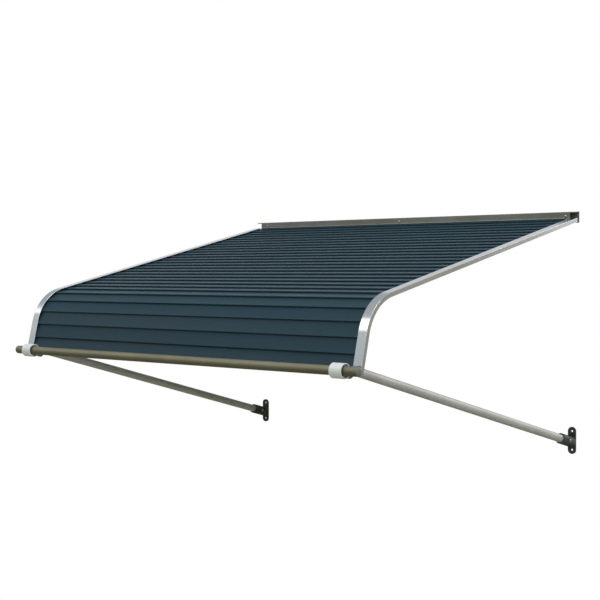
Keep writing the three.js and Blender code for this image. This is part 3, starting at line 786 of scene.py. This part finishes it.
def tube(name, start, end, radius):
    """A tube with its grain along the axis."""
    start, end = Vector(start), Vector(end)
    length = (end - start).length
    inside, eased = radius - TUBE_WALL, radius - TUBE_EASE
    wall = [(inside, 0.0), (eased, 0.0), (radius, TUBE_EASE)]
    wall += [(radius, length * i / TUBE_STEPS) for i in range(1, TUBE_STEPS)]
    wall += [(radius, length - TUBE_EASE), (eased, length), (inside, length)]
    bm = turn_outline(wall, start, end - start, TUBE_SIDES)
    layer = bm.loops.layers.uv["metres"]
    for face in bm.faces:
        for corner in face.loops:
            around, along = corner[layer].uv
            corner[layer].uv = (along, around)
    return new_object(name, bm)


front = tube("bar_tube", (BAR_LOW.x, *BAR_CENTRE.yz), (BAR_HIGH.x, *BAR_CENTRE.yz), BAR_RADIUS)
dress(front, "front_bar", BAR_METAL)
print("bar centre", [round(c, 4) for c in BAR_CENTRE])

# %% [markdown]
# The arms start over the spigots of the fittings and run down to the wall, a little outwards. Their ends
# follow from the bar, the drop and the brackets in the same way as the solids' ends do.

# %% Arm axes
STUB_LENGTH = 38 * MM
ARM_RISE = 9.1 * MM
ARM_FALL = 252.5 * MM
ARM_RADIUS = 11 * MM
ARM_START = 1.2 * MM
ARM_END_Y = -18 * MM
COLLAR_HALF = 17.7 * MM
COLLAR_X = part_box("right_collar")[1].x - COLLAR_HALF
BRACKET_INSET = 26.5 * MM
BRACKET_X = OUTER_X - BRACKET_INSET
STUB = Vector((0, math.cos(DROP_LEAN), -math.sin(DROP_LEAN)))
UP = Vector((0, math.sin(DROP_LEAN), math.cos(DROP_LEAN)))


def bar_point(x):
    return Vector((x, *BAR_CENTRE.yz))


def arm_line(side):
    """Front end of an arm's axis and its direction towards the wall."""
    front_end = bar_point(side * COLLAR_X) + STUB * STUB_LENGTH + UP * ARM_RISE
    at_wall = Vector((side * BRACKET_X, 0, BAR_CENTRE.z - ARM_FALL))
    return front_end, (at_wall - front_end).normalized()


def arm_point(side, y):
    front_end, direction = arm_line(side)
    return front_end + direction * ((y - front_end.y) / direction.y)


for name, side in SIDES:
    front_end, direction = arm_line(side)
    start = front_end + direction * ARM_START
    made = tube(f"{name}_arm_tube", start, arm_point(side, ARM_END_Y), ARM_RADIUS)
    dress(made, f"{name}_arm", ARM_METAL)

# %% [markdown]
# ## Plugs and saddles
# The bar is closed by a plug with a low dome at each end. Between the bar and each frame sits a saddle, cut
# to the round of the bar on one side and flat on the other. Both are small, so a turned outline and a short
# sweep with round corners are enough.

# %% Plugs
PLUG_DEPTH = 18
PLUG_RIM = 1.6
PLUG_DOME = 5
DOME_SHARE = 0.94
DOME_STEPS = 12


def plug(name, side):
    inside = (BAR_RADIUS - TUBE_WALL - GAP) / MM
    rim = BAR_RADIUS / MM
    skirt = [
        (0, -PLUG_DEPTH, 0), (inside, -PLUG_DEPTH, 1.2), (inside, 0, 0), (rim, 0, 0.3), (rim, PLUG_RIM, 0.5),
    ]
    outline = round_outline(skirt, closed=False)[:-1]
    dome = rim * DOME_SHARE
    for i in range(DOME_STEPS + 1):
        angle = math.pi / 2 * i / DOME_STEPS
        outline.append(Vector((dome * math.cos(angle), PLUG_RIM + PLUG_DOME * math.sin(angle))) * MM)
    outline[-1].x = 0
    made = turn_outline(outline, bar_point(side * (BAR_HIGH.x + GAP)), (side, 0, 0), 56)
    return new_object(f"{name}_plug_cap", made)


# %% Saddles
SADDLE_HALF = 8 * MM
SADDLE_TOP, SADDLE_BOTTOM = DROP_LENGTH - 17 * MM, DROP_LENGTH - MM
CRADLE_START, CRADLE_ANGLE, CRADLE_STEPS = -24.6, 94, 16
SADDLE_BEVEL = {"width": 0.6 * MM, "segments": 3, "limit_method": "ANGLE", "angle_limit": math.radians(50)}


def saddle(name, side):
    centre = side * (OUTER_X - FACE / 2 * MM)
    outline = [on_drop(SADDLE_TOP, -GAP), on_drop(SADDLE_BOTTOM, -GAP)]
    for i in range(CRADLE_STEPS + 1):
        angle = math.radians(CRADLE_START + CRADLE_ANGLE * i / CRADLE_STEPS) - DROP_LEAN
        spot = Vector((math.cos(angle), math.sin(angle))) * (BAR_RADIUS + GAP)
        outline.append(BAR_CENTRE.yz + spot)
    rings = [[Vector((centre + x, *p)) for p in outline] for x in (-SADDLE_HALF, 0, SADDLE_HALF)]
    made = new_object(f"{name}_saddle_block", sweep(rings))
    return remark(shape_with(made, ("BEVEL", SADDLE_BEVEL)))


for name, side in SIDES:
    dress(plug(name, side), f"{name}_bar_plug", GREY_PLASTIC)
    dress(saddle(name, side), f"{name}_bar_saddle", GREY_PLASTIC)
print("plug faces", pieces["right_plug_cap"], "saddle faces", pieces["right_saddle_block"])

# %% [markdown]
# ## Collars and arm fittings
# A collar is a white moulded sleeve on the bar. Behind it sits a metal fitting: a stub hollowed to the
# collar's round, a root that is pressed into the collar's wall, and a spigot for the arm. A fitting has no
# sharp inner corners, so it is made the sculptor's way: its parts are joined, the mesh is built anew from
# small cubes, and smoothing then rounds every corner by about half a millimetre.

# %% Rods and smoothing
MOUTH_RADIUS = 15
COLLAR_RADIUS = 17.7
MOUTH_DEPTH = 7
STUB_RADIUS = 12 * MM
SPIGOT_LENGTH = 30 * MM
SPIGOT_ROOT = 4 * MM
ROOT_RADIUS = 7 * MM
ROOT_START = BAR_RADIUS + 0.6 * MM
ROOT_LENGTH = 8 * MM
SCREW_PLACE = 24 * MM
SCREW_HOLE = 2.2 * MM
SCREW_HOLE_DEPTH = 11 * MM
HOLLOW_LENGTH = 40 * MM
FITTING_CUBE, FITTING_ROUNDS = 0.5 * MM, 3


def solid_rod(name, start, direction, length, radius, ease=0.0, sides=64):
    outline = [(0.0, 0.0), (radius - ease, 0.0), (radius, ease)]
    outline += [(radius, length - ease), (radius - ease, length), (0.0, length)]
    return new_object(name, turn_outline(outline, start, direction, sides))


def melt(thing, cube, rounds):
    """Builds the mesh anew from small cubes and smooths it, which rounds the corners."""
    shape_with(
        thing,
        ("REMESH", {"mode": "VOXEL", "voxel_size": cube}),
        ("SMOOTH", {"factor": 0.5, "iterations": rounds}),
    )
    return remark(thing)


# %% Collars
def collar(name, side):
    half = COLLAR_HALF / MM
    inner = (BAR_RADIUS + GAP) / MM
    step = half - MOUTH_DEPTH
    ring = round_outline([
        (inner, -step, 0.4), (MOUTH_RADIUS, -step, 0.6),
        (MOUTH_RADIUS, -half, 0.5), (COLLAR_RADIUS, -half, 1.0),
        (COLLAR_RADIUS, half, 1.0), (MOUTH_RADIUS, half, 0.5),
        (MOUTH_RADIUS, step, 0.6), (inner, step, 0.4),
    ])
    axis_point = bar_point(side * COLLAR_X)
    made = new_object(f"{name}_collar_sleeve", turn_outline(ring, axis_point, (1, 0, 0), 96))
    root_hole = solid_rod("root_hole", axis_point, STUB, (COLLAR_RADIUS + 1) * MM, ROOT_RADIUS + GAP)
    return remark(cut_or_join(made, [root_hole]))


# %% Arm fittings
def fitting(name, side):
    axis_point = bar_point(side * COLLAR_X)
    front_end, direction = arm_line(side)
    made = solid_rod(f"{name}_fitting_stub", axis_point, STUB, STUB_LENGTH, STUB_RADIUS, 0.8 * MM)
    spigot_radius = ARM_RADIUS - TUBE_WALL - GAP
    spigot_start = front_end - direction * SPIGOT_ROOT
    spigot_length = SPIGOT_LENGTH + SPIGOT_ROOT
    spigot = solid_rod("spigot", spigot_start, direction, spigot_length, spigot_radius, 0.5 * MM)
    cut_or_join(made, [spigot], "UNION")
    hollow_start = axis_point - Vector((HOLLOW_LENGTH / 2, 0, 0))
    hollow_radius = COLLAR_RADIUS * MM + GAP
    hollow = solid_rod("hollow", hollow_start, (1, 0, 0), HOLLOW_LENGTH, hollow_radius, sides=96)
    hole_start = axis_point + STUB * SCREW_PLACE - Vector((side * (STUB_RADIUS + MM), 0, 0))
    hole = solid_rod("hole", hole_start, (side, 0, 0), SCREW_HOLE_DEPTH, SCREW_HOLE, sides=24)
    cut_or_join(made, [hollow, hole])
    root = solid_rod("root", axis_point + STUB * ROOT_START, STUB, ROOT_LENGTH, ROOT_RADIUS)
    return melt(cut_or_join(made, [root], "UNION"), FITTING_CUBE, FITTING_ROUNDS)


for name, side in SIDES:
    dress(collar(name, side), f"{name}_collar", WHITE_PLASTIC)
    dress(fitting(name, side), f"{name}_arm_fitting", FITTING_METAL)
print("collar faces", pieces["right_collar_sleeve"], "fitting faces", pieces["right_fitting_stub"])

# %% [markdown]
# ## Wall brackets
# The bracket is one casting: a plate with round ends on the wall and a socket that leans with the arm. The
# pattern maker fills every inner corner with a fillet, so the same way is used as for the fittings, with
# more smoothing. A little noise on the surface gives the uneven skin of sand casting.

# %% Bracket values
PLATE_RADIUS = 12 * MM
PLATE_HEIGHT = 75 * MM
PLATE_THICKNESS = 6 * MM
PLATE_Z = BAR_CENTRE.z - ARM_FALL + 6 * MM
HOLE_SPACING = 52 * MM
SOCKET_RADIUS = 14.8 * MM
SOCKET_MOUTH_Y = -65 * MM
SOCKET_FOOT = PLATE_RADIUS - 0.6 * MM
SOCKET_FOOT_Y = -2 * MM
SOCKET_FLARE_Y = -16 * MM
BOLT_Y = -38 * MM
BOLT_HOLE = 2.5 * MM
MOUTH_EASE = 0.8 * MM
WALL_HOLE, SINK_RADIUS = 3 * MM, 6 * MM
SINK_START, SINK_END = -3.8 * MM, -7 * MM
BRACKET_CUBE, BRACKET_ROUNDS = 0.6 * MM, 8
ROUND_STEPS = 48
CAST_SKIN = 0.1 * MM
FLAT_BACK = 0.4 * MM
COARSE_SAND, FINE_SAND = 420, 1100


def plate_outline():
    half = PLATE_HEIGHT / 2 - PLATE_RADIUS
    outline = []
    for i in range(ROUND_STEPS + 1):
        angle = math.pi * i / ROUND_STEPS
        outline.append(Vector((math.cos(angle), math.sin(angle))) * PLATE_RADIUS + Vector((0, half)))
    return outline + [-p for p in outline]


def bolt_axis(side):
    _, direction = arm_line(side)
    return Vector((-side * direction.y, side * direction.x, 0)).normalized()


# %% Brackets
def roughen(thing, amount):
    """Moves each point inwards by a little noise, as the sand of the mould does."""
    bm = bmesh.new()
    bm.from_mesh(thing.data)
    for vert in bm.verts:
        if vert.co.y < -FLAT_BACK:
            grain = noise.noise(vert.co * COARSE_SAND) + 0.5 * noise.noise(vert.co * FINE_SAND)
            vert.co += vert.normal * min(0.0, grain - 1.0) * amount
    bm.to_mesh(thing.data)
    bm.free()
    return thing


def bracket(name, side):
    x = side * BRACKET_X
    outline = plate_outline()
    rings = [[Vector((x + a, y, PLATE_Z + b)) for a, b in outline] for y in (0, -PLATE_THICKNESS)]
    made = new_object(f"{name}_bracket_casting", sweep(rings))
    mouth = arm_point(side, SOCKET_MOUTH_Y)
    root = arm_point(side, SOCKET_RADIUS)
    reach = [(root - arm_point(side, y)).length for y in (SOCKET_FOOT_Y, SOCKET_FLARE_Y, SOCKET_MOUTH_Y)]
    flare = [(0, 0), (SOCKET_FOOT, 0), (SOCKET_FOOT, reach[0]), (SOCKET_RADIUS, reach[1])]
    flare += [(SOCKET_RADIUS, reach[2] - MOUTH_EASE), (SOCKET_RADIUS - MOUTH_EASE, reach[2]), (0, reach[2])]
    socket = new_object("socket", turn_outline(flare, root, mouth - root, 80))
    cut_or_join(made, [socket], "UNION")
    bottom = arm_point(side, ARM_END_Y + MM)
    bore_length = (mouth - bottom).length + 2 * MM
    bore = solid_rod("bore", bottom, mouth - bottom, bore_length, ARM_RADIUS + GAP)
    axis = bolt_axis(side)
    bolt_start = arm_point(side, BOLT_Y) - axis * 2 * SOCKET_RADIUS
    bolt_hole = solid_rod("bolt_hole", bolt_start, axis, 4 * SOCKET_RADIUS, BOLT_HOLE, sides=32)
    wall = block("wall", (x - 0.08, 0, PLATE_Z - 0.1), (x + 0.08, 0.1, PLATE_Z + 0.1))
    cutters = [wall, bore, bolt_hole]
    for end in (-1, 1):
        centre = Vector((x, 0, PLATE_Z + end * HOLE_SPACING / 2))
        sink = [(0, MM), (WALL_HOLE, MM), (WALL_HOLE, SINK_START), (SINK_RADIUS, SINK_END), (0, SINK_END)]
        cutters.append(new_object("sink", turn_outline(sink, centre, (0, 1, 0), 40)))
    return remark(roughen(melt(cut_or_join(made, cutters), BRACKET_CUBE, BRACKET_ROUNDS), CAST_SKIN))


for name, side in SIDES:
    dress(bracket(name, side), f"{name}_wall_bracket", CAST_PAINT)
print("bracket faces", pieces["right_bracket_casting"])

# %% [markdown]
# ## Screws, bolts and nuts
# The small screws have a pan head with a cross recess. The cross bolts have a round head with a slot, and a
# six-sided nut with its corners turned off. Heads are turned outlines, and the recesses are cut with blocks.

# %% Screws
HEAD_RADIUS = 3.4
HEAD_HEIGHT = 2
SHANK_RADIUS = 1.9
CROSS = (3.6 * MM, 0.8 * MM, 1.1 * MM)
CROSS_TURNS = (0.4, 0.4 + math.pi / 2)


def turned_frame(start, direction):
    """Matrix that carries +Z on to a direction, at a point."""
    turn = Vector(direction).to_track_quat("Z", "Y").to_matrix().to_4x4()
    return Matrix.Translation(Vector(start)) @ turn


def recess(start, direction, long, wide, deep, turns):
    cutters = []
    for turn in turns:
        cutter = block("recess", (-long / 2, -wide / 2, -1 * MM), (long / 2, wide / 2, deep))
        cutter.data.transform(turned_frame(start, direction) @ Matrix.Rotation(turn, 4, "Z"))
        cutters.append(cutter)
    return cutters


def pan_screw(name, start, direction, length):
    outline = round_outline([
        (0, length, 0), (SHANK_RADIUS * 0.4, length, 0),
        (SHANK_RADIUS, length - 2, 0.4), (SHANK_RADIUS, 0, 0.15),
        (HEAD_RADIUS, 0, 0.2), (HEAD_RADIUS, -1.2, 0.8), (HEAD_RADIUS * 0.5, -HEAD_HEIGHT, 1.2),
        (0, -HEAD_HEIGHT, 0),
    ], closed=False)
    made = new_object(name, turn_outline(outline, start, direction, 40))
    top = Vector(start) - Vector(direction).normalized() * HEAD_HEIGHT * MM
    return remark(cut_or_join(made, recess(top, direction, *CROSS, CROSS_TURNS)))


# %% Place the screws
INWARD = Vector((0, 1, 0))
OFF_DROP = Vector((0, -math.cos(DROP_LEAN), math.sin(DROP_LEAN)))
SADDLE_SCREW_INSET = 6 * MM
RAIL_SCREW, SADDLE_SCREW, COLLAR_SCREW = 12, 18, 9


def place_screw(node, start, direction, length):
    dress(pan_screw(f"{node}_pan", start, direction, length), node, SCREW_STEEL)


for place in ("left", "middle", "right"):
    node = f"rail_screw_{place}"
    low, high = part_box(node)
    centre = (low + high) / 2
    place_screw(node, (centre.x, BAND_Y * MM - GAP, centre.z), INWARD, RAIL_SCREW)

for name, side in SIDES:
    behind_drop = on_drop(DROP_LENGTH - SADDLE_SCREW_INSET, DEPTH * MM + GAP)
    under_frame = Vector((side * (OUTER_X - FACE / 2 * MM), *behind_drop))
    place_screw(f"{name}_saddle_screw", under_frame, OFF_DROP, SADDLE_SCREW)
    beside_stub = bar_point(side * (COLLAR_X - STUB_RADIUS - GAP)) + STUB * SCREW_PLACE
    place_screw(f"{name}_collar_screw", beside_stub, (side, 0, 0), COLLAR_SCREW)
print("screw faces", pieces["rail_screw_left_pan"])

# %% Bolts and nuts
BOLT_HEAD = 4.4
BOLT_HEAD_HEIGHT = 3
BOLT_SHANK = 2.2
BOLT_END = 1.9
SLOT = (12 * MM, 1.1 * MM, 1.3 * MM)
SLOT_TURN = 0.7
NUT_HEIGHT = 3.2
NUT_RADIUS = 4.6
NUT_BORE = BOLT_SHANK + 0.3


def round_bolt(name, start, direction, length):
    outline = round_outline([
        (0, length, 0), (BOLT_SHANK, length, 0.5), (BOLT_SHANK, 0, 0.2), (BOLT_HEAD, 0, 0.2),
        (BOLT_HEAD, -1.4, 0.9), (BOLT_HEAD * 0.5, -BOLT_HEAD_HEIGHT, 1.6), (0, -BOLT_HEAD_HEIGHT, 0),
    ], closed=False)
    made = new_object(name, turn_outline(outline, start, direction, 44))
    top = Vector(start) - Vector(direction).normalized() * BOLT_HEAD_HEIGHT * MM
    return remark(cut_or_join(made, recess(top, direction, *SLOT, (SLOT_TURN,))))


def nut(name, start, direction):
    """A six-sided prism whose corners are cut by a cone, with a bore for the bolt."""
    flat = [(NUT_BORE, 0), (NUT_RADIUS, 0), (NUT_RADIUS, NUT_HEIGHT), (NUT_BORE, NUT_HEIGHT)]
    made = new_object(name, turn_outline([Vector(p) * MM for p in flat], start, direction, 6))
    narrow, wide = NUT_RADIUS - 0.35, NUT_RADIUS + 0.6
    cone = [(0, -1), (narrow, -1), (narrow, 0), (wide, 0.6), (wide, NUT_HEIGHT - 0.6)]
    cone += [(narrow, NUT_HEIGHT), (narrow, NUT_HEIGHT + 1), (0, NUT_HEIGHT + 1)]
    limit = new_object("cone", turn_outline([Vector(p) * MM for p in cone], start, direction, 48))
    return remark(cut_or_join(made, [limit], "INTERSECT"))


for name, side in SIDES:
    axis = bolt_axis(side)
    centre = arm_point(side, BOLT_Y)
    length = 2 * SOCKET_RADIUS / MM + NUT_HEIGHT + BOLT_END
    made = round_bolt(f"{name}_bolt_round", centre - axis * (SOCKET_RADIUS + GAP), axis, length)
    dress(made, f"{name}_bracket_bolt", SCREW_STEEL)
    made = nut(f"{name}_nut_hex", centre + axis * (SOCKET_RADIUS + GAP), axis)
    dress(made, f"{name}_bracket_nut", SCREW_STEEL)
print("bolt faces", pieces["right_bolt_round"], "nut faces", pieces["right_nut_hex"])

# %% [markdown]
# ## Floor and screens
# The canopy hangs over a doorstep, so the floor lies well below it. It is plain and pale, and takes the
# shadow. Bright metal only looks like metal when it has something dark to show. Out of doors that is the
# ground and the hedges round the house. Here an olive screen stands round three sides, up to a low height,
# a smaller one hangs behind the space under the roof, like the shaded wall, and a mat lies on the floor. The
# camera doesn't see them. The mat shows only in glossy surfaces and throws no shade, so the floor stays pale
# and still takes the shadow of the canopy.

# %% Floor and screens
FLOOR_Z = -2.45
FLOOR_SIZE = 6.0
SCREEN_TOP = 0.35
SCREEN_PATH = [(-3.4, 0.6), (-3.4, -4.4), (3.6, -4.4), (3.6, 5.0)]
SHADE_LEFT, SHADE_RIGHT = -1.1, 0.6
SHADE_LOW, SHADE_HIGH = -1.4, -0.03
SHADE_Y = 0.03
MAT_LIFT = 0.01
MAT_EDGE = 0.1


def cloudy_paint(name, tone, other_tone):
    material, tree, shader = new_material(name, Roughness=0.85)
    cloud = speckle(tree, in_space(tree), 2.0, 4.0)
    join(tree, shader, Base_Color=blend_colours(tree, cloud, tone, other_tone))
    return material


def make_floor():
    bm = bmesh.new()
    bmesh.ops.create_grid(bm, x_segments=1, y_segments=1, size=FLOOR_SIZE / 2)
    floor = new_object("floor", bm)
    floor.location = (0, 0, FLOOR_Z)
    floor.data.materials.append(cloudy_paint("floor_paint", linear(200, 198, 190), linear(192, 190, 182)))


def hide_from_camera(thing, material):
    thing.visible_camera = False
    thing.data.materials.append(material)


def make_screen(name, feet, low, high, material):
    """An upright screen over a line of feet, left out of the camera's view."""
    bm = bmesh.new()
    rows = [[bm.verts.new((x, y, z)) for x, y in feet] for z in (low, high)]
    for i in range(len(feet) - 1):
        bm.faces.new((rows[0][i], rows[0][i + 1], rows[1][i + 1], rows[1][i]))
    hide_from_camera(new_object(name, bm), material)


def make_mat():
    (left, back), (_, front), (right, _) = SCREEN_PATH[0], SCREEN_PATH[1], SCREEN_PATH[2]
    ends = ((left + MAT_EDGE, front + MAT_EDGE), (right - MAT_EDGE, back - MAT_EDGE))
    bm = bmesh.new()
    corners = [(ends[i][0], ends[j][1]) for i, j in ((0, 0), (1, 0), (1, 1), (0, 1))]
    bm.faces.new([bm.verts.new((x, y, FLOOR_Z + MAT_LIFT)) for x, y in corners])
    mat = new_object("ground_mat", bm)
    mat.visible_shadow = False
    mat.visible_diffuse = False
    hide_from_camera(mat, cloudy_paint("mat_cloth", linear(148, 144, 118), linear(136, 132, 106)))


make_floor()
OLIVE = cloudy_paint("olive_cloth", linear(168, 166, 153), linear(156, 154, 141))
make_screen("folding_screen", SCREEN_PATH, FLOOR_Z, SCREEN_TOP, OLIVE)
shade_feet = [(SHADE_LEFT, SHADE_Y), (SHADE_RIGHT, SHADE_Y)]
SHADE_CLOTH = cloudy_paint("shade_cloth", linear(192, 190, 168), linear(180, 178, 154))
make_screen("shade_screen", shade_feet, SHADE_LOW, SHADE_HIGH, SHADE_CLOTH)
make_mat()
print("floor at", FLOOR_Z, "screens up to", SCREEN_TOP)

# %% [markdown]
# ## Light
# The world is a white sky behind the canopy, which the camera sees too. It turns to a quiet grey overhead and
# towards the front, so the long bends fade from light to grey. A broad lamp overhead gives the roof its light
# and leaves a soft shade under every nose. A window to the left makes the glint where each bend meets its
# drop. A lamp from the right brightens the sides that the camera sees, and one behind shines on the arms.

# %% World
WHITE_SKY = (1.0, 1.0, 1.0, 1)
GREY_SKY = (0.47, 0.5, 0.52, 1)
FRONT_SKY = (0.48, 0.52, 0.55, 1)


def make_world():
    world = bpy.data.worlds.new("studio")
    world.use_nodes = True
    tree = world.node_tree
    direction = add_node(tree, "ShaderNodeTexCoord", {}).outputs["Generated"]
    parts = add_node(tree, "ShaderNodeSeparateXYZ", {"Vector": direction})
    overhead = grade(tree, parts.outputs["Z"], 0, 1, 0.215, 0.5)
    sky = blend_colours(tree, overhead, WHITE_SKY, GREY_SKY)
    in_front = grade(tree, parts.outputs["Y"], 1, 0, -0.75, -0.3)
    sky = blend_colours(tree, in_front, sky, FRONT_SKY)
    tree.links.new(sky, tree.nodes["Background"].inputs["Color"])
    bpy.context.scene.world = world


make_world()

# %% Lamps
def soft_lamp(name, place, target, size, power):
    data = bpy.data.lights.new(name, "AREA")
    data.shape = "RECTANGLE"
    data.size, data.size_y = size
    data.energy = power
    lamp = bpy.data.objects.new(name, data)
    lamp.location = place
    lamp.rotation_euler = (Vector(target) - Vector(place)).to_track_quat("-Z", "Y").to_euler()
    bpy.context.scene.collection.objects.link(lamp)


CENTRE = (0, -0.6, -0.2)
FRONT = (0, -0.95, -0.3)
soft_lamp("overhead_softbox", (0.3, -1.5, 3.4), CENTRE, (3.0, 1.6), 48)
soft_lamp("left_window", (-4.7, -4.9, 3.75), FRONT, (4.5, 2.4), 58)
soft_lamp("right_softbox", (3.9, -3.9, 2.7), CENTRE, (5.0, 3.4), 88)
soft_lamp("back_window", (2.1, 4.0, 1.8), (0.6, -0.4, -0.5), (2.8, 2.2), 50)

# %% [markdown]
# ## Size
# The count of faces and of pieces is printed. The dressed model has to stay inside the
# imported one's box.

# %% Sizes
bpy.context.view_layer.update()
print("faces in all", sum(pieces.values()), "pieces", len(pieces))
